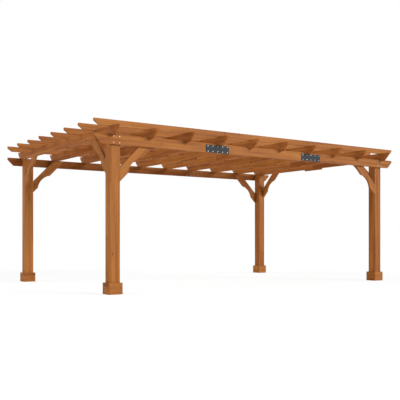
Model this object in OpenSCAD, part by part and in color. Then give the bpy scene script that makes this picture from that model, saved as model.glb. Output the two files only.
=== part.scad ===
// Wooden pergola: four square posts carry a front and a back beam, each spliced from
// three lengths. Ten rafters sit notched over the beams, eight purlins sit notched over
// the rafters, and eight knee braces stiffen the corners.
// The origin is on the ground at the middle of the four posts. X runs along the beams,
// +Y to the back and +Z up. All sizes are in millimetres.

/* [Overall] */
// Length of the beams and purlins, tip to tip
roof_length = 6096; // [5900:4:6400]
// Depth of the roof, rafter tip to rafter tip
roof_depth = 3930; // [3880:10:4300]
// Distance between post centres along the beams
post_pitch_x = 5420; // [5200:10:5480]
// Distance between post centres from front to back
post_pitch_y = 3340; // [3200:10:3360]
// Height of the underside of the beams
clear_height = 2086; // [1950:2:2600]

/* [Posts] */
// Side of a square post
post_w = 152; // [140:1:160]
// Outer side of the box trim round the foot of a post
trim_w = 208; // [196:1:230]
// Height of the box trim
trim_h = 162; // [120:1:220]

/* [Beams] */
// Height of a beam
beam_h = 140; // [130:1:150]
// Thickness of a beam
beam_t = 38; // [30:1:45]
// Length of the middle length of each beam, between its two joints
beam_mid_length = 1952; // [1800:2:2200]
// Length of a steel splice plate
plate_length = 434; // [380:2:460]
// Height of a steel splice plate
plate_h = 116; // [100:1:124]
// Height of a splice plate's lower edge above the underside of the beam
plate_rise = 3; // [1:1:6]
// Thickness of a steel splice plate
plate_t = 5; // [4:1:8]

/* [Roof] */
// Number of rafters
rafter_count = 10; // [8:1:12]
// Height of a rafter
rafter_h = 140; // [130:1:150]
// Thickness of a rafter
rafter_t = 38; // [32:1:45]
// Depth of the notch that a rafter has over each beam
rafter_notch = 19; // [12:1:25]
// Length of the block under the joint of a rafter's two halves
block_length = 480; // [400:10:600]
// Height of that block
block_h = 26; // [20:1:40]
// Number of purlins
purlin_count = 8; // [6:1:10]
// Height of a purlin
purlin_h = 89; // [80:1:100]
// Thickness of a purlin
purlin_t = 38; // [32:1:45]
// Depth of the notch that a purlin has over each rafter
purlin_notch = 9; // [6:1:14]

/* [Board ends] */
// Slope length along the board of the cut at each end of a beam
beam_cut = 108; // [80:2:140]
// Slope length along the board of the cut at each end of a rafter
rafter_cut = 110; // [80:2:130]
// Slope length along the board of the cut at each end of a purlin
purlin_cut = 74; // [50:2:90]
// Height of the upright nose that the cut leaves at the tip of a beam or purlin
nose_h = 36; // [20:1:45]
// Height of the upright nose at the tip of a rafter
rafter_nose_h = 22; // [10:1:40]

/* [Knee braces] */
// Width of a brace board
brace_w = 140; // [130:1:150]
// Thickness of a brace board
brace_t = 38; // [32:1:45]
// Distance of a brace's inner corner from the corner that it braces
brace_reach = 312; // [290:1:340]
// Depth of the scooped arc in a brace's lower edge
brace_scoop = 51; // [30:1:60]
// Square shoulder at each end of the arc
brace_shoulder = 2; // [1:1:12]

/* [Hidden] */
// Gap beside a notch, so that a board drops into it
notch_gap = 2;
// Overlap that keeps a cutting tool clear of the face it cuts through
cut_over = 1;

post_x = post_pitch_x / 2;
post_y = post_pitch_y / 2;
post_face_x = post_x + post_w / 2;
post_face_y = post_y + post_w / 2;
beam_face_y = post_face_y + beam_t;
beam_top = clear_height + beam_h;
rafter_base = beam_top - rafter_notch;
rafter_top = rafter_base + rafter_h;
purlin_base = rafter_top - purlin_notch;
rafter_pitch = (2 * post_face_x - rafter_t) / (rafter_count - 1);
purlin_pitch = (2 * beam_face_y - purlin_t) / (purlin_count - 1);
splice_x = beam_mid_length / 2;

cedar = "peru";
cedar_dark = "sienna";
cedar_pale = "burlywood";
steel = "slategray";

// Stands an outline drawn in X and Z upright, with its thickness along +Y from y = 0.
module upright(thickness) {
  translate([0, thickness, 0])
    rotate([90, 0, 0])
      linear_extrude(thickness)
        children();
}

// Turns a piece that runs along X so that it runs along Y, for the rafters and side braces.
module turned() {
  rotate([0, 0, 90])
    children();
}

// Places a piece made for the front left corner at the corner (side, face), -1 or +1 each.
module at_corner(side, face) {
  mirror([side > 0 ? 1 : 0, 0, 0])
    mirror([0, face > 0 ? 1 : 0, 0])
      children();
}

// Outline of a board with both ends cut back below an upright nose, centred on x = 0.
module tipped_outline(length, height, cut, nose) {
  half = length / 2;
  polygon([
    [-half, height], [-half, height - nose], [-half + cut, 0],
    [half - cut, 0], [half, height - nose], [half, height]
  ]);
}

// Outline of a notch that is open at the board's lower edge, centred on x = 0.
module notch_outline(board_t, depth) {
  width = board_t + 2 * notch_gap;
  translate([-width / 2, -cut_over])
    square([width, depth + cut_over]);
}

// One post, standing on the ground and carrying an end rafter on its top.
module post(side, face) {
  color(cedar)
    translate([side * post_x - post_w / 2, face * post_y - post_w / 2, 0])
      cube([post_w, post_w, rafter_base]);
}

// Box trim round the foot of a post.
module base_trim(side, face) {
  color(cedar_dark)
    translate([side * post_x, face * post_y, 0])
      linear_extrude(trim_h)
        difference() {
          square(trim_w, center = true);
          square(post_w, center = true);
        }
}

// One length of a beam, between x_from and x_to, cut from the full tipped outline.
module beam_length(face, x_from, x_to) {
  y_low = face > 0 ? post_face_y : -beam_face_y;
  color(cedar_pale)
    translate([0, y_low, clear_height])
      upright(beam_t)
        intersection() {
          tipped_outline(roof_length, beam_h, beam_cut, nose_h);
          translate([x_from, 0])
            square([x_to - x_from, beam_h]);
        }
}

// Steel plate across a beam joint, on the beam's outer face.
module splice_plate(side, face) {
  y_low = face > 0 ? beam_face_y : -beam_face_y - plate_t;
  color(steel)
    translate([side * splice_x - plate_length / 2, y_low, clear_height + plate_rise])
      cube([plate_length, plate_t, plate_h]);
}

// One rafter, counted from the left, notched over both beams. Its two halves meet at
// y = 0, over the block that joins them.
module rafter(number) {
  x_mid = -post_face_x + rafter_t / 2 + (number - 1) * rafter_pitch;
  color(cedar)
    translate([x_mid + rafter_t / 2, 0, rafter_base])
      turned()
        upright(rafter_t)
          difference() {
            union() {
              tipped_outline(roof_depth, rafter_h, rafter_cut, rafter_nose_h);
              translate([-block_length / 2, -block_h])
                square([block_length, block_h + cut_over]);
            }
            for (face = [-1, 1])
              translate([face * (beam_face_y - beam_t / 2), 0])
                notch_outline(beam_t, rafter_notch);
          }
}

// One purlin, counted from the front, notched over every rafter.
module purlin(number) {
  y_low = -beam_face_y + (number - 1) * purlin_pitch;
  color(cedar_pale)
    translate([0, y_low, purlin_base])
      upright(purlin_t)
        difference() {
          tipped_outline(roof_length, purlin_h, purlin_cut, nose_h);
          for (rafter_number = [1 : rafter_count])
            translate([-post_face_x + rafter_t / 2 + (rafter_number - 1) * rafter_pitch, 0])
              notch_outline(rafter_t, purlin_notch);
        }
}

// Outline of a knee brace. Its inner edge rises at 45 degrees from (0, rise), its outer
// edge runs parallel at brace_w, and the ends are cut upright at x = 0 and level at top.
// The lower edge is scooped by an arc between two square shoulders.
module brace_outline(rise, top) {
  drop = brace_w * sqrt(2);
  corner = rise - drop;
  span = brace_reach + drop;
  middle = span * 0.48;
  chord = span * 0.44 * sqrt(2);
  radius = (chord * chord / 4 + brace_scoop * brace_scoop) / (2 * brace_scoop);
  difference() {
    polygon([
      [0, corner], [0, rise],
      [top - rise, top], [top - corner, top]
    ]);
    translate([middle, corner + middle])
      rotate(45)
        intersection() {
          translate([-chord / 2, -brace_w])
            square([chord, brace_w + brace_shoulder + brace_scoop]);
          translate([0, brace_shoulder + brace_scoop - radius])
            circle(radius, $fn = 180);
        }
  }
}

// Brace along the beam: flat against the beam's inner face, flush with the post's outer face.
module brace_long(side, face) {
  color(cedar_dark)
    at_corner(side, face)
      translate([-post_face_x + post_w, -post_face_y, 0])
        upright(brace_t)
          brace_outline(clear_height - brace_reach, rafter_base);
}

// Brace along the end rafter: flush with the post's outer side face, under the rafter.
module brace_side(side, face) {
  color(cedar_dark)
    at_corner(side, face)
      translate([-post_face_x + brace_t, -post_face_y + post_w, 0])
        turned()
          upright(brace_t)
            brace_outline(rafter_base - brace_reach, rafter_base);
}

post(-1, -1);  // post_front_left
post(1, -1);  // post_front_right
post(-1, 1);  // post_back_left
post(1, 1);  // post_back_right
base_trim(-1, -1);  // base_trim_front_left
base_trim(1, -1);  // base_trim_front_right
base_trim(-1, 1);  // base_trim_back_left
base_trim(1, 1);  // base_trim_back_right
beam_length(-1, -roof_length / 2, -splice_x);  // front_beam_left
beam_length(-1, -splice_x, splice_x);  // front_beam_middle
beam_length(-1, splice_x, roof_length / 2);  // front_beam_right
beam_length(1, -roof_length / 2, -splice_x);  // back_beam_left
beam_length(1, -splice_x, splice_x);  // back_beam_middle
beam_length(1, splice_x, roof_length / 2);  // back_beam_right
splice_plate(-1, -1);  // splice_plate_front_left
splice_plate(1, -1);  // splice_plate_front_right
splice_plate(-1, 1);  // splice_plate_back_left
splice_plate(1, 1);  // splice_plate_back_right
rafter(1);  // rafter_1
rafter(2);  // rafter_2
rafter(3);  // rafter_3
rafter(4);  // rafter_4
rafter(5);  // rafter_5
rafter(6);  // rafter_6
rafter(7);  // rafter_7
rafter(8);  // rafter_8
rafter(9);  // rafter_9
rafter(10);  // rafter_10
purlin(1);  // purlin_1
purlin(2);  // purlin_2
purlin(3);  // purlin_3
purlin(4);  // purlin_4
purlin(5);  // purlin_5
purlin(6);  // purlin_6
purlin(7);  // purlin_7
purlin(8);  // purlin_8
brace_long(-1, -1);  // brace_long_front_left
brace_long(1, -1);  // brace_long_front_right
brace_long(-1, 1);  // brace_long_back_left
brace_long(1, 1);  // brace_long_back_right
brace_side(-1, -1);  // brace_side_front_left
brace_side(1, -1);  // brace_side_front_right
brace_side(-1, 1);  // brace_side_back_left
brace_side(1, 1);  // brace_side_back_right
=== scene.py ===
import math
import random

import bmesh
import bpy
from bpy.props import FloatProperty, FloatVectorProperty, PointerProperty
from bpy.types import Operator, Panel, PropertyGroup
from mathutils import Matrix, Vector


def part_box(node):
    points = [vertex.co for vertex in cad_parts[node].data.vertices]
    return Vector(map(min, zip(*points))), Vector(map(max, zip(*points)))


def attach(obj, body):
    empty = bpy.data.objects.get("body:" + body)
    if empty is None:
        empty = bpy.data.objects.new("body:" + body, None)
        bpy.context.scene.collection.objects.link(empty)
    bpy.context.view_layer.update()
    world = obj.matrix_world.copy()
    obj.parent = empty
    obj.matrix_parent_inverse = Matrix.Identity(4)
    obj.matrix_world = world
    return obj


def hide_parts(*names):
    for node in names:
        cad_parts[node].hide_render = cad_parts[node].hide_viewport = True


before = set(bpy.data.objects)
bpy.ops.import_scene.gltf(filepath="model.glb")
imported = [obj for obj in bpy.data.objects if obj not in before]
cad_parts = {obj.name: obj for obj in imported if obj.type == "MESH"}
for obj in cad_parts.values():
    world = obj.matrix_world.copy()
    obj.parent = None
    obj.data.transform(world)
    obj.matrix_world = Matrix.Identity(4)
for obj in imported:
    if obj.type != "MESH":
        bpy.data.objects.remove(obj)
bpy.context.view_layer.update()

bl_info = {
    "name": "Timber Pergola",
    "version": (1, 0, 0),
    "blender": (4, 5, 0),
    "location": "View3D > Sidebar > Pergola",
    "description": "Builds the boards, bolts, finishes and stage of a timber pergola",
    "category": "Add Mesh",
}

CORNERS = ("front_left", "front_right", "back_left", "back_right")
X_AXIS = Vector((1, 0, 0))
Y_AXIS = Vector((0, 1, 0))
Z_AXIS = Vector((0, 0, 1))


# ---------------------------------------------------------------- settings


class PergolaTimber(PropertyGroup):
    """How the boards are dressed and stained."""

    edge_round: FloatProperty(
        name="Eased Edge",
        description="Radius of the eased edges of the beams, rafters and braces",
        default=0.0035,
        unit="LENGTH",
    )
    post_round: FloatProperty(
        name="Post Edge",
        description="Radius of the eased corners of the posts",
        default=0.004,
        unit="LENGTH",
    )
    purlin_round: FloatProperty(
        name="Purlin Edge",
        description="Radius of the eased edges of the purlins",
        default=0.00315,
        unit="LENGTH",
    )
    ring_gap: FloatProperty(
        name="Ring Spacing",
        description="Distance between two growth rings",
        default=0.0042,
        unit="LENGTH",
    )
    stain_pale: FloatVectorProperty(
        name="Pale Stain",
        description="Stain colour over pale early wood",
        default=(0.44, 0.166, 0.036),
        subtype="COLOR",
        size=3,
    )
    stain_deep: FloatVectorProperty(
        name="Deep Stain",
        description="Stain colour over dense late wood",
        default=(0.22, 0.060, 0.0088),
        subtype="COLOR",
        size=3,
    )
    knot_brown: FloatVectorProperty(
        name="Knots",
        description="Colour of the knots",
        default=(0.12, 0.035, 0.012),
        subtype="COLOR",
        size=3,
    )


class PergolaSteel(PropertyGroup):
    """Sizes and colours of the splice plates and their bolts."""

    plate_blue: FloatVectorProperty(
        name="Plate Coat",
        description="Powder coat on the splice plates",
        default=(0.013, 0.0165, 0.021),
        subtype="COLOR",
        size=3,
    )
    zinc: FloatVectorProperty(
        name="Zinc",
        description="Zinc plating on bolts, washers and nuts",
        default=(0.33, 0.33, 0.32),
        subtype="COLOR",
        size=3,
    )
    head_width: FloatProperty(
        name="Head Width",
        description="Width across the corners of a hexagon head or nut",
        default=0.015,
        unit="LENGTH",
    )
    head_height: FloatProperty(
        name="Head Height",
        description="Height of a hexagon head or nut",
        default=0.006,
        unit="LENGTH",
    )
    washer_width: FloatProperty(
        name="Washer Width",
        description="Diameter of a washer under a head or nut that sits on timber",
        default=0.018,
        unit="LENGTH",
    )
    post_bolt_gap: FloatProperty(
        name="Post Bolt Gap",
        description="Distance between neighbouring bolts in the square at each post",
        default=0.092,
        unit="LENGTH",
    )
    plate_bolt_gap: FloatProperty(
        name="Plate Bolt Gap",
        description="Distance between bolts along a splice plate",
        default=0.092,
        unit="LENGTH",
    )
    plate_row_gap: FloatProperty(
        name="Plate Row Gap",
        description="Distance between the two bolt rows of a splice plate",
        default=0.079,
        unit="LENGTH",
    )


class PergolaStage(PropertyGroup):
    """The floor, the lights and the view."""

    floor_size: FloatProperty(
        name="Floor Size",
        description="Side of the floor",
        default=160.0,
        unit="LENGTH",
    )
    sky: FloatProperty(
        name="Sky",
        description="Strength of the even light from all sides",
        default=0.06,
    )
    key: FloatProperty(
        name="Key Light",
        description="Strength of the soft light from the front right",
        default=3.05,
    )
    key_azimuth: FloatProperty(
        name="Key Azimuth",
        description="Bearing of the key light, to the right of the front",
        default=math.radians(36),
        subtype="ANGLE",
    )
    key_height: FloatProperty(
        name="Key Height",
        description="Height of the key light above the horizon",
        default=math.radians(20),
        subtype="ANGLE",
    )
    key_spread: FloatProperty(
        name="Key Spread",
        description="Angular width of the key light",
        default=math.radians(30),
        subtype="ANGLE",
    )
    fill: FloatProperty(
        name="Fill Light",
        description="Strength of the soft light from the left",
        default=1.82,
    )
    fill_azimuth: FloatProperty(
        name="Fill Azimuth",
        description="Bearing of the fill light, to the right of the front",
        default=math.radians(-100),
        subtype="ANGLE",
    )
    fill_height: FloatProperty(
        name="Fill Height",
        description="Height of the fill light above the horizon",
        default=math.radians(33),
        subtype="ANGLE",
    )
    fill_spread: FloatProperty(
        name="Fill Spread",
        description="Angular width of the fill light",
        default=math.radians(72),
        subtype="ANGLE",
    )
    floor_grey: FloatProperty(
        name="Floor",
        description="How pale the floor is to the light that it throws back",
        default=0.86,
        subtype="FACTOR",
    )
    floor_glow: FloatProperty(
        name="Floor Glow",
        description="Light that the floor sends up by itself, as a lit studio floor does",
        default=0.18,
    )
    floor_shade: FloatProperty(
        name="Floor Shadow",
        description="How much of the shadow on the floor the camera sees",
        default=0.35,
        subtype="FACTOR",
    )
    floor_lift: FloatProperty(
        name="Floor White",
        description="Added to what the camera sees of the floor, to make it white",
        default=0.80,
        subtype="FACTOR",
    )


class PergolaSettings(PropertyGroup):
    """Everything a user may change."""

    timber: PointerProperty(type=PergolaTimber)
    steel: PointerProperty(type=PergolaSteel)
    stage: PointerProperty(type=PergolaStage)


def settings():
    """The values that a user may change, as they are now."""
    return bpy.context.scene.pergola


# ---------------------------------------------------------------- finishes


class Value:
    """One output of a node. Arithmetic on it adds Math nodes to the same finish."""

    def __init__(self, finish, socket):
        self.finish = finish
        self.socket = socket

    def math(self, operation, *values, clamp=False):
        return self.finish.add(
            "ShaderNodeMath", {"operation": operation, "use_clamp": clamp}, values
        )

    def __add__(self, other):
        return self.math("ADD", self, other)

    def __radd__(self, other):
        return self.math("ADD", other, self)

    def __sub__(self, other):
        return self.math("SUBTRACT", self, other)

    def __rsub__(self, other):
        return self.math("SUBTRACT", other, self)

    def __mul__(self, other):
        return self.math("MULTIPLY", self, other)

    def __rmul__(self, other):
        return self.math("MULTIPLY", other, self)

    def __truediv__(self, other):
        return self.math("DIVIDE", self, other)

    def __rtruediv__(self, other):
        return self.math("DIVIDE", other, self)

    def __pow__(self, power):
        return self.math("POWER", self, power)

    def clamped(self):
        return self.math("ADD", self, 0.0, clamp=True)

    def ramp(self, low, high):
        """0 below low, 1 above high, smooth between."""
        return self.finish.add(
            "ShaderNodeMapRange",
            {"interpolation_type": "SMOOTHSTEP"},
            {"Value": self, "From Min": low, "From Max": high},
        )


# The Mix node has a set of sockets for each type of value. These are the ones for colours:
# its factor and its two colours, and the colour that comes out.
MIX_COLOUR_INPUTS = (0, 6, 7)
MIX_COLOUR_OUTPUT = 2


class Finish:
    """A material, or the world, built node by node."""

    def __init__(self, owner):
        self.owner = owner
        owner.use_nodes = True
        self.tree = owner.node_tree
        self.tree.nodes.clear()

    def add(self, kind, choices=None, values=(), out=None):
        """Adds one node: its settings first, then the values or links of its sockets."""
        node = self.tree.nodes.new(kind)
        for key, choice in (choices or {}).items():
            setattr(node, key, choice)
        pairs = values.items() if isinstance(values, dict) else enumerate(values)
        for key, value in pairs:
            socket = node.inputs[key]
            if isinstance(value, Value):
                self.tree.links.new(value.socket, socket)
            else:
                socket.default_value = value
        if out is not None:
            return Value(self, node.outputs[out])
        shown = [socket for socket in node.outputs if socket.enabled]
        return Value(self, shown[0]) if shown else None

    def scaled(self, vector, factors):
        return self.add("ShaderNodeVectorMath", {"operation": "MULTIPLY"}, (vector, factors))

    def noise(self, vector, scale, detail=2.0, roughness=0.5):
        return self.add(
            "ShaderNodeTexNoise",
            {"noise_dimensions": "3D"},
            {"Vector": vector, "Scale": scale, "Detail": detail, "Roughness": roughness},
            out="Fac",
        )

    def mix(self, factor, first, second):
        """A colour between first and second, by factor."""
        values = dict(zip(MIX_COLOUR_INPUTS, (factor, first, second)))
        return self.add("ShaderNodeMix", {"data_type": "RGBA"}, values, out=MIX_COLOUR_OUTPUT)

    def attribute(self, name, out):
        return self.add("ShaderNodeAttribute", {"attribute_name": name}, out=out)

    def bump(self, height, strength, distance):
        values = {"Strength": strength, "Distance": distance, "Height": height}
        return self.add("ShaderNodeBump", values=values)

    def straight_rays(self):
        """1 for what is seen directly, in a reflection or through a surface, else 0."""
        camera, gloss, through = (
            self.add("ShaderNodeLightPath", out=f"Is {kind} Ray")
            for kind in ("Camera", "Glossy", "Transmission")
        )
        return (camera + gloss + through).clamped()

    def close(self, shader, kind="ShaderNodeOutputMaterial"):
        self.add(kind, values={"Surface": shader})
        return self.owner

    def surface(self, sockets):
        """Closes a material with one Principled shader, given the values of its sockets."""
        return self.close(self.add("ShaderNodeBsdfPrincipled", values=sockets))


def rgba(colour, factor=1.0, warm=1.0):
    """A colour made paler or deeper by factor, and redder where warm is over 1."""
    red, green, blue = (channel * factor for channel in colour)
    return (red, green / warm, blue / warm**2, 1.0)


# The grain attribute runs in metres along, across and through a board. Each pattern is
# stretched along it by its own number of waves per metre in those three directions.
KNOT_WAVES = (4.2, 9.0, 9.0)
WANDER_WAVES = (0.55, 5.0, 5.0)
STREAK_WAVES = (0.8, 26.0, 26.0)
CLOUD_WAVES = (0.9, 6.0, 6.0)
FIBRE_WAVES = (14.0, 620.0, 620.0)
ACROSS_ONLY = (0.0, 1.0, 1.0)

# Where a knot and the swirl of grain round it begin and end, as shares of a knot's cell.
KNOT_EDGE = (0.06, 0.12)
SWIRL_EDGE = (0.05, 0.32)
RAGGED_WAVES = 60.0
RAGGED_REACH = 0.05

# How much of the stain a knot and an end cut hide, and how deep the stain is in an end cut.
KNOT_COVER = 0.72
END_CUT_COVER = 0.05
END_CUT_DEPTH = 0.62

# How far rings stray from a circle by themselves and round a knot, in metres.
RING_WANDER = 0.034
RING_SWIRL = 0.016
LATE_WOOD_SHARPNESS = 2.6


def stained_cedar(name, depth=1.0, warm=1.0):
    """Planed softwood under a transparent cedar stain, cut from a log along the grain attribute."""
    timber = settings().timber
    finish = Finish(bpy.data.materials.new(name))
    grain = finish.attribute("grain", "Vector")
    tone = finish.attribute("tone", "Fac")
    end_cut = finish.attribute("end_cut", "Fac")

    # Knots: short branches that cross the board.
    knot_far = finish.add(
        "ShaderNodeTexVoronoi",
        {"voronoi_dimensions": "3D", "feature": "F1"},
        {"Vector": finish.scaled(grain, KNOT_WAVES), "Scale": 1.0, "Randomness": 1.0},
        out="Distance",
    )
    ragged = finish.noise(grain, RAGGED_WAVES)
    knot = 1.0 - (knot_far + (ragged - 0.5) * RAGGED_REACH).ramp(*KNOT_EDGE)
    swirl = 1.0 - knot_far.ramp(*SWIRL_EDGE)

    # Growth rings round the pith, which wander and swell round the knots.
    across = finish.scaled(grain, ACROSS_ONLY)
    radius = finish.add("ShaderNodeVectorMath", {"operation": "LENGTH"}, (across,), out="Value")
    wander = finish.noise(finish.scaled(grain, WANDER_WAVES), 1.0, detail=3.0, roughness=0.45)
    rings = (radius + (wander - 0.5) * RING_WANDER + swirl * RING_SWIRL) / timber.ring_gap
    late = rings.math("FRACT", rings) ** LATE_WOOD_SHARPNESS

    # Streaks and clouds that run with the grain, and the finest fibres.
    streak = finish.noise(finish.scaled(grain, STREAK_WAVES), 1.0, detail=4.0, roughness=0.55)
    cloud = finish.noise(finish.scaled(grain, CLOUD_WAVES), 1.0)
    fibre = finish.noise(finish.scaled(grain, FIBRE_WAVES), 1.0, detail=1.0)

    # How pale the stain is, from 0, deep, to 1, pale. Each weight is how far its pattern
    # can move it.
    paleness = (
        0.58
        + (streak - 0.5) * 1.9
        + (cloud - 0.5) * 0.9
        + tone * 0.20
        + (fibre - 0.5) * 0.16
        - late * 0.26
        - swirl * 0.10
    )
    deep = rgba(timber.stain_deep, depth, warm)
    pale = rgba(timber.stain_pale, depth, warm)
    stain = finish.mix(paleness.clamped(), deep, pale)
    stain = finish.mix(knot * KNOT_COVER, stain, rgba(timber.knot_brown))
    end_stain = rgba(timber.stain_deep, END_CUT_DEPTH)
    stain = finish.mix(end_cut * END_CUT_COVER, stain, end_stain)

    height = late * -0.35 + fibre * 0.5 + streak * 0.6 + knot * 0.3
    return finish.surface(
        {
            "Base Color": stain,
            "Roughness": 0.56 + (streak - 0.5) * 0.22 + late * 0.07 + end_cut * 0.14,
            "Normal": finish.bump(height, strength=0.45, distance=0.0009),
            "Specular IOR Level": 0.13,
        }
    )


def powder_coat(name):
    """Blue-grey powder coat with a fine orange-peel skin and a little chalking."""
    finish = Finish(bpy.data.materials.new(name))
    place = finish.add("ShaderNodeTexCoord", out="Object")
    peel = finish.noise(place, 420.0)
    chalk = finish.noise(place, 14.0, detail=4.0, roughness=0.6)
    coat = settings().steel.plate_blue
    return finish.surface(
        {
            "Base Color": finish.mix(chalk.ramp(0.35, 0.75), rgba(coat, 0.82), rgba(coat, 1.35)),
            "Roughness": 0.42 + chalk * 0.16,
            "Normal": finish.bump(peel, strength=0.35, distance=0.0004),
            "Specular IOR Level": 0.16,
        }
    )


def zinc_plate(name):
    """Zinc plating with a soft spangle and slight dulling."""
    finish = Finish(bpy.data.materials.new(name))
    place = finish.add("ShaderNodeTexCoord", out="Object")
    spangle = finish.noise(place, 260.0)
    dull = finish.noise(place, 45.0, detail=3.0)
    zinc = settings().steel.zinc
    return finish.surface(
        {
            "Base Color": finish.mix(dull.ramp(0.3, 0.75), rgba(zinc), rgba(zinc, 0.78)),
            "Roughness": 0.30 + spangle * 0.22,
            "Metallic": 0.85,
        }
    )


# How deep and how warm the stain is on each kind of board, where 1 is as the settings say. The
# rafters' paler, redder stain is painted light.
STAINS = {
    "post_wood": (1.0, 1.0),
    "trim_wood": (0.97, 0.99),
    "beam_wood": (0.97, 1.0),
    # Painted light: the rafters, mostly under the roof, get a paler and redder stain that stands in
    # for the warm light bounced between the boards.
    "rafter_wood": (1.04, 1.06),
    "purlin_wood": (1.0, 1.0),
    "brace_wood": (1.0, 1.0),
}
STEELS = {"plate_steel": powder_coat, "bolt_steel": zinc_plate}


def finish_of(slot):
    """The finish of a material slot, made when it is first needed."""
    name = f"{slot}_finish"
    made = bpy.data.materials.get(name)
    if made:
        return made
    if slot in STEELS:
        return STEELS[slot](name)
    return stained_cedar(name, *STAINS[slot])


# ---------------------------------------------------------------- boards


# Corners nearer than this are one corner, and faces within this angle are one flat face.
MERGE_GAP = 1e-5
FLAT_ANGLE = math.radians(0.5)


def cad_copy(node):
    """A merged copy of a CAD node's mesh, with its flat faces whole."""
    bm = bmesh.new()
    bm.from_mesh(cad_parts[node].data)
    bmesh.ops.remove_doubles(bm, verts=bm.verts, dist=MERGE_GAP)
    bmesh.ops.dissolve_limit(bm, angle_limit=FLAT_ANGLE, verts=bm.verts, edges=bm.edges)
    return bm


def block(low, high):
    """A plain board between two corners, whose edges are eased further on."""
    low, high = Vector(low), Vector(high)
    bm = bmesh.new()
    bmesh.ops.create_cube(bm, size=1.0)
    bmesh.ops.scale(bm, vec=high - low, verts=bm.verts)
    bmesh.ops.translate(bm, vec=(low + high) / 2, verts=bm.verts)
    return bm


def keep_side(bm, point, away):
    """Saws the mesh through a plane, drops what lies on the side of away and caps the cut."""
    geometry = bm.verts[:] + bm.edges[:] + bm.faces[:]
    bmesh.ops.bisect_plane(
        bm, geom=geometry, plane_co=point, plane_no=away, clear_outer=True
    )
    open_edges = [edge for edge in bm.edges if edge.is_boundary]
    bmesh.ops.edgenet_fill(bm, edges=open_edges)
    bmesh.ops.recalc_face_normals(bm, faces=bm.faces)


def round_edges(bm, edges, radius, segments):
    """Bevels the given edges to an arc."""
    bmesh.ops.bevel(
        bm,
        geom=edges,
        offset=radius,
        offset_type="OFFSET",
        segments=segments,
        profile=0.5,
        affect="EDGES",
        clamp_overlap=True,
        material=-1,
    )


def ease_edges(bm, radius, shortest=0.03, segments=2, turn=20.0):
    """Rounds the outer edges that are longer than shortest and sharper than turn degrees."""
    edges = [
        edge
        for edge in bm.edges
        if edge.calc_length() > shortest
        and edge.is_manifold
        and edge.calc_face_angle_signed(0.0) > math.radians(turn)
    ]
    round_edges(bm, edges, radius, segments)


def separate_boards(bm):
    """The faces of each board in a mesh of several, in mesh order."""
    bm.faces.ensure_lookup_table()
    bm.faces.index_update()
    seen = set()
    boards = []
    for first in bm.faces:
        if first.index in seen:
            continue
        seen.add(first.index)
        board = []
        queue = [first]
        while queue:
            face = queue.pop()
            board.append(face)
            for edge in face.edges:
                for other in edge.link_faces:
                    if other.index not in seen:
                        seen.add(other.index)
                        queue.append(other)
        boards.append(board)
    return boards


# Where the pith of the log lies from a board's middle line, in metres: within HEART_REACH
# both ways in a post, and beside a sawn board, between SIDE_NEAR and SIDE_FAR from it.
HEART_REACH = 0.03
SIDE_REACH = 0.07
SIDE_NEAR, SIDE_FAR = 0.03, 0.11
# How far the grain leans away from the board's length, both ways, per metre.
LEAN_ACROSS, LEAN_THROUGH = 0.014, 0.010
# How far along the endless log a board may start, so that no two are alike.
LOG_LENGTH = 40.0
# A face is an end cut where its normal leans this far towards the board's length.
END_CUT_LEAN = 0.45


def lay_grain(bm, draws, along_of, heart=False):
    """Gives each board its own place in a log: the grain attribute is the distance along
    the board and the two distances from the pith. Also marks end cuts and the board's tone."""
    grain = bm.verts.layers.float_vector.new("grain")
    tone = bm.verts.layers.float.new("tone")
    end_cut = bm.faces.layers.float.new("end_cut")
    for board in separate_boards(bm):
        verts = sorted({vert for face in board for vert in face.verts}, key=lambda v: v.index)
        middle = sum((vert.co for vert in verts), Vector()) / len(verts)
        along = along_of(middle).normalized()
        # Any direction that isn't near the board's own will do to find the other two.
        side = Z_AXIS if abs(along.z) < 0.5 else X_AXIS
        side = (side - along * side.dot(along)).normalized()
        third = along.cross(side)
        if heart:
            pith_side = draws.uniform(-HEART_REACH, HEART_REACH)
            pith_third = draws.uniform(-HEART_REACH, HEART_REACH)
        else:
            pith_side = draws.uniform(-SIDE_REACH, SIDE_REACH)
            pith_third = draws.choice((-1, 1)) * draws.uniform(SIDE_NEAR, SIDE_FAR)
        lean_side = draws.uniform(-LEAN_ACROSS, LEAN_ACROSS)
        lean_third = draws.uniform(-LEAN_THROUGH, LEAN_THROUGH)
        start = draws.uniform(0.0, LOG_LENGTH)
        shade = draws.uniform(-1.0, 1.0)
        for vert in verts:
            place = vert.co - middle
            length = place.dot(along)
            vert[grain] = (
                start + length,
                place.dot(side) + pith_side + lean_side * length,
                place.dot(third) + pith_third + lean_third * length,
            )
            vert[tone] = shade
        for face in board:
            face[end_cut] = 1.0 if abs(face.normal.dot(along)) > END_CUT_LEAN else 0.0


def add_piece(bm, name, slot, *nodes):
    """Turns a mesh into a piece that stands for the named CAD nodes."""
    mesh = bpy.data.meshes.new(name)
    bm.to_mesh(mesh)
    bm.free()
    mesh.materials.append(finish_of(slot))
    piece = bpy.data.objects.new(name, mesh)
    bpy.context.scene.collection.objects.link(piece)
    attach(piece, "root")
    if nodes:
        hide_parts(*nodes)


def joined(meshes):
    """One mesh from several, in order."""
    whole = bmesh.new()
    for part in meshes:
        mesh = bpy.data.meshes.new("part")
        part.to_mesh(mesh)
        part.free()
        whole.from_mesh(mesh)
        bpy.data.meshes.remove(mesh)
    return whole


def facing(corner):
    """The corner's own directions: -1 or +1 to the side and to the front or back."""
    return (-1 if corner.endswith("left") else 1, -1 if corner.startswith("front") else 1)


def numbered(kind):
    """The nodes of a numbered kind, such as rafter_1 and on, in order."""
    nodes = [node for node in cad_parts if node.startswith(f"{kind}_")]
    return sorted(nodes, key=lambda node: int(node.rpartition("_")[2]))


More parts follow.
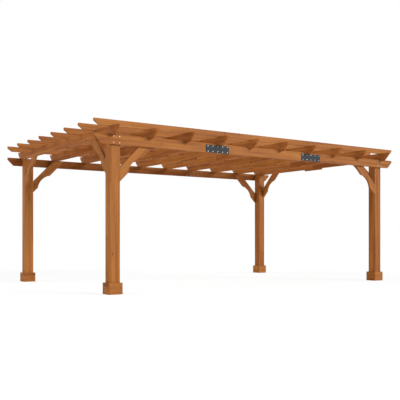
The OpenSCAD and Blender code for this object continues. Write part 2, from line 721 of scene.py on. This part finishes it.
def add_board(node, slot, draws, along, edge_round, segments=2, heart=False):
    """Eases a board that is right as CAD made it, and gives it its grain and finish."""
    bm = cad_copy(node)
    ease_edges(bm, edge_round, segments=segments)
    lay_grain(bm, draws, lambda middle: along, heart=heart)
    add_piece(bm, f"{node}_timber", slot, node)


# ---------------------------------------------------------------- operators

# Each step draws its random numbers from a seed of its own, so it builds the same each time.
# In the steps, joint is half the gap at a sawn joint, or the gap beside a board that fits
# between two others, and shortest is the length under which an edge stays sharp.


class PERGOLA_OT_posts(Operator):
    """Stand the four posts, with eased corners"""

    bl_idname = "pergola.posts"
    bl_label = "Posts"

    seed = 11

    def execute(self, context):
        draws = random.Random(self.seed)
        edge_round = settings().timber.post_round
        for corner in CORNERS:
            add_board(
                f"post_{corner}", "post_wood", draws, Z_AXIS, edge_round, segments=3, heart=True
            )
        return {"FINISHED"}


class PERGOLA_OT_base_trims(Operator):
    """Box in each post's foot with four boards"""

    bl_idname = "pergola.base_trims"
    bl_label = "Base Trims"

    seed = 23
    joint = 0.0004
    edge_round = 0.0025
    shortest = 0.02

    def execute(self, context):
        draws = random.Random(self.seed)
        for corner in CORNERS:
            node = f"base_trim_{corner}"
            low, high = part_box(node)
            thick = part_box(f"post_{corner}")[0].x - low.x
            boards = []
            # The front and back boards are as long as the trim, the side boards fit between.
            for y_low in (low.y, high.y - thick):
                boards.append(block((low.x, y_low, low.z), (high.x, y_low + thick, high.z)))
            y_low, y_high = low.y + thick + self.joint, high.y - thick - self.joint
            for x_low in (low.x, high.x - thick):
                boards.append(block((x_low, y_low, low.z), (x_low + thick, y_high, high.z)))
            bm = joined(boards)
            ease_edges(bm, self.edge_round, shortest=self.shortest)
            centre = (low + high) / 2

            def along(middle, centre=centre):
                offset = middle - centre
                return X_AXIS if abs(offset.y) > abs(offset.x) else Y_AXIS

            lay_grain(bm, draws, along)
            add_piece(bm, f"{node}_boards", "trim_wood", node)
        return {"FINISHED"}


class PERGOLA_OT_beams(Operator):
    """Lay the three lengths of each beam, butted at the splices"""

    bl_idname = "pergola.beams"
    bl_label = "Beams"

    seed = 43

    def execute(self, context):
        draws = random.Random(self.seed)
        edge_round = settings().timber.edge_round
        for face in ("front", "back"):
            for length in ("left", "middle", "right"):
                add_board(f"{face}_beam_{length}", "beam_wood", draws, X_AXIS, edge_round)
        return {"FINISHED"}


class PERGOLA_OT_rafters(Operator):
    """Lay the rafters, each two halves over a block screwed under their joint"""

    bl_idname = "pergola.rafters"
    bl_label = "Rafters"

    seed = 41
    joint = 0.0003
    shortest = 0.022

    def execute(self, context):
        draws = random.Random(self.seed)
        # The end rafters rest on the posts, so the posts' tops are the height of the boards'
        # lower edges, and the blocks hang below it.
        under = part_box("post_front_left")[1].z
        for node in numbered("rafter"):
            eased = cad_copy(node)
            ease_edges(eased, settings().timber.edge_round, shortest=self.shortest)
            boards = []
            for end in (Y_AXIS, -Y_AXIS):
                half = eased.copy()
                keep_side(half, (0, 0, under + self.joint), -Z_AXIS)
                keep_side(half, end * self.joint, -end)
                boards.append(half)
            keep_side(eased, (0, 0, under - self.joint), Z_AXIS)
            bm = joined([*boards, eased])
            lay_grain(bm, draws, lambda middle: Y_AXIS)
            add_piece(bm, f"{node}_timber", "rafter_wood", node)
        return {"FINISHED"}


class PERGOLA_OT_purlins(Operator):
    """Lay the purlins across the rafters"""

    bl_idname = "pergola.purlins"
    bl_label = "Purlins"

    seed = 53

    def execute(self, context):
        draws = random.Random(self.seed)
        edge_round = settings().timber.purlin_round
        for node in numbered("purlin"):
            add_board(node, "purlin_wood", draws, X_AXIS, edge_round)
        return {"FINISHED"}


class PERGOLA_OT_braces(Operator):
    """Fit the scooped knee braces along the beams and under the end rafters"""

    bl_idname = "pergola.braces"
    bl_label = "Knee Braces"

    seed = 67

    def execute(self, context):
        draws = random.Random(self.seed)
        edge_round = settings().timber.edge_round
        for kind in ("long", "side"):
            for corner in CORNERS:
                side, face = facing(corner)
                # Up from the post at 45 degrees, towards the middle of the pergola.
                slope = Vector((-side, 0, 1) if kind == "long" else (0, -face, 1))
                add_board(f"brace_{kind}_{corner}", "brace_wood", draws, slope, edge_round)
        return {"FINISHED"}


class PERGOLA_OT_splice_plates(Operator):
    """Cover the beam joints with steel plates"""

    bl_idname = "pergola.splice_plates"
    bl_label = "Splice Plates"

    corner_round = 0.006
    edge_break = 0.0008
    shortest = 0.001

    def execute(self, context):
        for corner in CORNERS:
            node = f"splice_plate_{corner}"
            bm = cad_copy(node)
            # The plate's four corners are the edges that run through its thickness.
            through = [
                edge
                for edge in bm.edges
                if abs((edge.verts[0].co - edge.verts[1].co).normalized().dot(Y_AXIS)) > 0.9
            ]
            round_edges(bm, through, self.corner_round, segments=4)
            ease_edges(bm, self.edge_break, shortest=self.shortest, segments=1, turn=60.0)
            add_piece(bm, f"{node}_steel", "plate_steel", node)
        return {"FINISHED"}


# Parts of a bolt that no user would change: lengths in metres, and how many sides.
WASHER_THICK = 0.002
WASHER_TAPER = 0.001
WASHER_SIDES = 20
HEXAGON = 6
# A head's sides are straight up to this share of its height, then draw in to its crown.
HEAD_STRAIGHT = 0.8
HEAD_CROWN = 0.84
THREAD_WIDE, THREAD_TIP_WIDE = 0.009, 0.007
THREAD_LONG, THREAD_TIP_LONG = 0.004, 0.0015
THREAD_SIDES = 12


def add_round(bm, at, base, wide, narrow, depth, segments):
    """A disc, prism or cone end on the axis of at, which starts base above the face."""
    bmesh.ops.create_cone(
        bm,
        cap_ends=True,
        segments=segments,
        radius1=wide / 2,
        radius2=narrow / 2,
        depth=depth,
        matrix=at @ Matrix.Translation((0, 0, base + depth / 2)),
    )


def add_head(bm, place, outward, turned, washer=True, thread=False):
    """A hexagon head or nut at place on a face whose outside is outward."""
    steel = settings().steel
    axis = Vector(outward).to_track_quat("Z", "Y").to_matrix().to_4x4()
    at = Matrix.Translation(place) @ axis @ Matrix.Rotation(turned, 4, "Z")
    base = 0.0
    if washer:
        wide = steel.washer_width
        add_round(bm, at, base, wide, wide - WASHER_TAPER, WASHER_THICK, WASHER_SIDES)
        base = WASHER_THICK
    width = steel.head_width
    straight = steel.head_height * HEAD_STRAIGHT
    crown = steel.head_height - straight
    add_round(bm, at, base, width, width, straight, HEXAGON)
    add_round(bm, at, base + straight, width, width * HEAD_CROWN, crown, HEXAGON)
    if thread:
        base += steel.head_height
        add_round(bm, at, base, THREAD_WIDE, THREAD_WIDE, THREAD_LONG, THREAD_SIDES)
        base += THREAD_LONG
        add_round(bm, at, base, THREAD_WIDE, THREAD_TIP_WIDE, THREAD_TIP_LONG, THREAD_SIDES)


def face_ends(node, face):
    """Where a node starts and ends towards its own side, and its middle along X and in Z."""
    low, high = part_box(node)
    inside, outside = (high.y, low.y) if face < 0 else (low.y, high.y)
    return inside, outside, (low.x + high.x) / 2, (low.z + high.z) / 2


class PERGOLA_OT_bolts(Operator):
    """Bolt the beams to the posts and the plates to the beams"""

    bl_idname = "pergola.bolts"
    bl_label = "Bolts"

    seed = 71
    # Places along a splice plate, counted in bolt gaps from its middle.
    plate_columns = (-2, -1, 0, 1, 2)

    def execute(self, context):
        draws = random.Random(self.seed)
        steel = settings().steel
        for corner in CORNERS:
            _, face = facing(corner)
            outward = Y_AXIS * face
            beam = f"{corner.partition('_')[0]}_beam_middle"
            beam_inside, beam_outside, _, beam_z = face_ends(beam, face)
            _, _, post_x, _ = face_ends(f"post_{corner}", face)
            _, plate_outside, plate_x, plate_z = face_ends(f"splice_plate_{corner}", face)

            bm = bmesh.new()
            half = steel.post_bolt_gap / 2
            for x in (post_x - half, post_x + half):
                for z in (beam_z - half, beam_z + half):
                    add_head(bm, (x, beam_outside, z), outward, draws.uniform(0, 1))
            add_piece(bm, f"post_bolts_{corner}", "bolt_steel")

            bm = bmesh.new()
            for column in self.plate_columns:
                for row in (-0.5, 0.5):
                    x = plate_x + column * steel.plate_bolt_gap
                    z = plate_z + row * steel.plate_row_gap
                    turned = draws.uniform(0, 1)
                    add_head(bm, (x, plate_outside, z), outward, turned, washer=False)
                    add_head(bm, (x, beam_inside, z), -outward, turned, thread=True)
            add_piece(bm, f"splice_bolts_{corner}", "bolt_steel")
        return {"FINISHED"}


# The view stands in front of the pergola and to its left, about as high as a table, and
# looks level. Its frame is shifted up, so that upright edges stay parallel.
VIEW_PLACE = (-7.0483, -10.1377, 0.7949)
VIEW_TURN = -0.6025
VIEW_SENSOR = 36.0
VIEW_LENS = 60.596
VIEW_SHIFT = 0.093665
VIEW_REACH = 400.0

# The floor lies this far under the feet, so that no two faces share a plane.
FLOOR_DROP = 0.001


def floor_finish():
    """A matt floor, which the view sees nearly white and with a fainter shadow."""
    stage = settings().stage
    finish = Finish(bpy.data.materials.new("floor"))
    seen = finish.straight_rays()
    pale = rgba((stage.floor_grey,) * 3)
    shaded = rgba(pale[:3], stage.floor_shade)
    matt = finish.add("ShaderNodeBsdfDiffuse", values={"Color": finish.mix(seen, pale, shaded)})
    lift = stage.floor_glow + seen * (stage.floor_lift - stage.floor_glow)
    white = finish.add("ShaderNodeEmission", values={"Strength": lift})
    return finish.close(finish.add("ShaderNodeAddShader", values=(matt, white)))


def studio_world():
    """White where it is seen directly, and an even, faint light on everything else."""
    sky = settings().stage.sky
    finish = Finish(bpy.data.worlds.new("studio"))
    strength = sky + finish.straight_rays() * (1.0 - sky)
    back = finish.add(
        "ShaderNodeBackground", values={"Color": rgba((1, 1, 1)), "Strength": strength}
    )
    return finish.close(back, "ShaderNodeOutputWorld")


def add_sun(name, strength, azimuth, height, spread):
    """A soft light from a bearing to the right of the front and a height above the horizon."""
    light = bpy.data.lights.new(name, "SUN")
    light.energy = strength
    light.angle = spread
    level = math.cos(height)
    towards = Vector((math.sin(azimuth) * level, -math.cos(azimuth) * level, math.sin(height)))
    lamp = bpy.data.objects.new(name, light)
    lamp.rotation_euler = towards.to_track_quat("Z", "Y").to_euler()
    bpy.context.scene.collection.objects.link(lamp)


class PERGOLA_OT_stage(Operator):
    """Set the pale floor, the soft lights and the view"""

    bl_idname = "pergola.stage"
    bl_label = "Stage"

    def execute(self, context):
        stage = settings().stage
        scene = context.scene
        bm = bmesh.new()
        bmesh.ops.create_grid(bm, x_segments=2, y_segments=2, size=stage.floor_size / 2)
        mesh = bpy.data.meshes.new("floor")
        bm.to_mesh(mesh)
        bm.free()
        mesh.materials.append(floor_finish())
        floor = bpy.data.objects.new("floor", mesh)
        floor.location.z = -FLOOR_DROP
        scene.collection.objects.link(floor)

        scene.world = studio_world()
        add_sun("key", stage.key, stage.key_azimuth, stage.key_height, stage.key_spread)
        add_sun("fill", stage.fill, stage.fill_azimuth, stage.fill_height, stage.fill_spread)

        view = bpy.data.cameras.new("view")
        view.sensor_width = VIEW_SENSOR
        view.lens = VIEW_LENS
        view.shift_y = VIEW_SHIFT
        view.clip_end = VIEW_REACH
        camera = bpy.data.objects.new("view", view)
        camera.location = VIEW_PLACE
        camera.rotation_euler = (math.radians(90), 0, VIEW_TURN)
        scene.collection.objects.link(camera)
        scene.camera = camera
        scene.view_settings.view_transform = "Standard"
        return {"FINISHED"}


STEPS = (
    PERGOLA_OT_posts,
    PERGOLA_OT_base_trims,
    PERGOLA_OT_beams,
    PERGOLA_OT_rafters,
    PERGOLA_OT_purlins,
    PERGOLA_OT_braces,
    PERGOLA_OT_splice_plates,
    PERGOLA_OT_bolts,
    PERGOLA_OT_stage,
)


class PERGOLA_PT_panel(Panel):
    """The steps of the build, in the 3D view's sidebar"""

    bl_idname = "PERGOLA_PT_panel"
    bl_label = "Pergola"
    bl_space_type = "VIEW_3D"
    bl_region_type = "UI"
    bl_category = "Pergola"

    def draw(self, context):
        pergola = context.scene.pergola
        for group in (pergola.timber, pergola.steel, pergola.stage):
            for entry in group.__annotations__:
                self.layout.prop(group, entry)
        for step in STEPS:
            self.layout.operator(step.bl_idname)


CLASSES = (PergolaTimber, PergolaSteel, PergolaStage, PergolaSettings, *STEPS, PERGOLA_PT_panel)


def register():
    for entry in CLASSES:
        bpy.utils.register_class(entry)
    bpy.types.Scene.pergola = PointerProperty(type=PergolaSettings)


def unregister():
    del bpy.types.Scene.pergola
    for entry in reversed(CLASSES):
        bpy.utils.unregister_class(entry)


def main():
    register()
    for step in STEPS:
        getattr(bpy.ops.pergola, step.bl_idname.split(".")[1])()


if __name__ == "__main__":
    main()
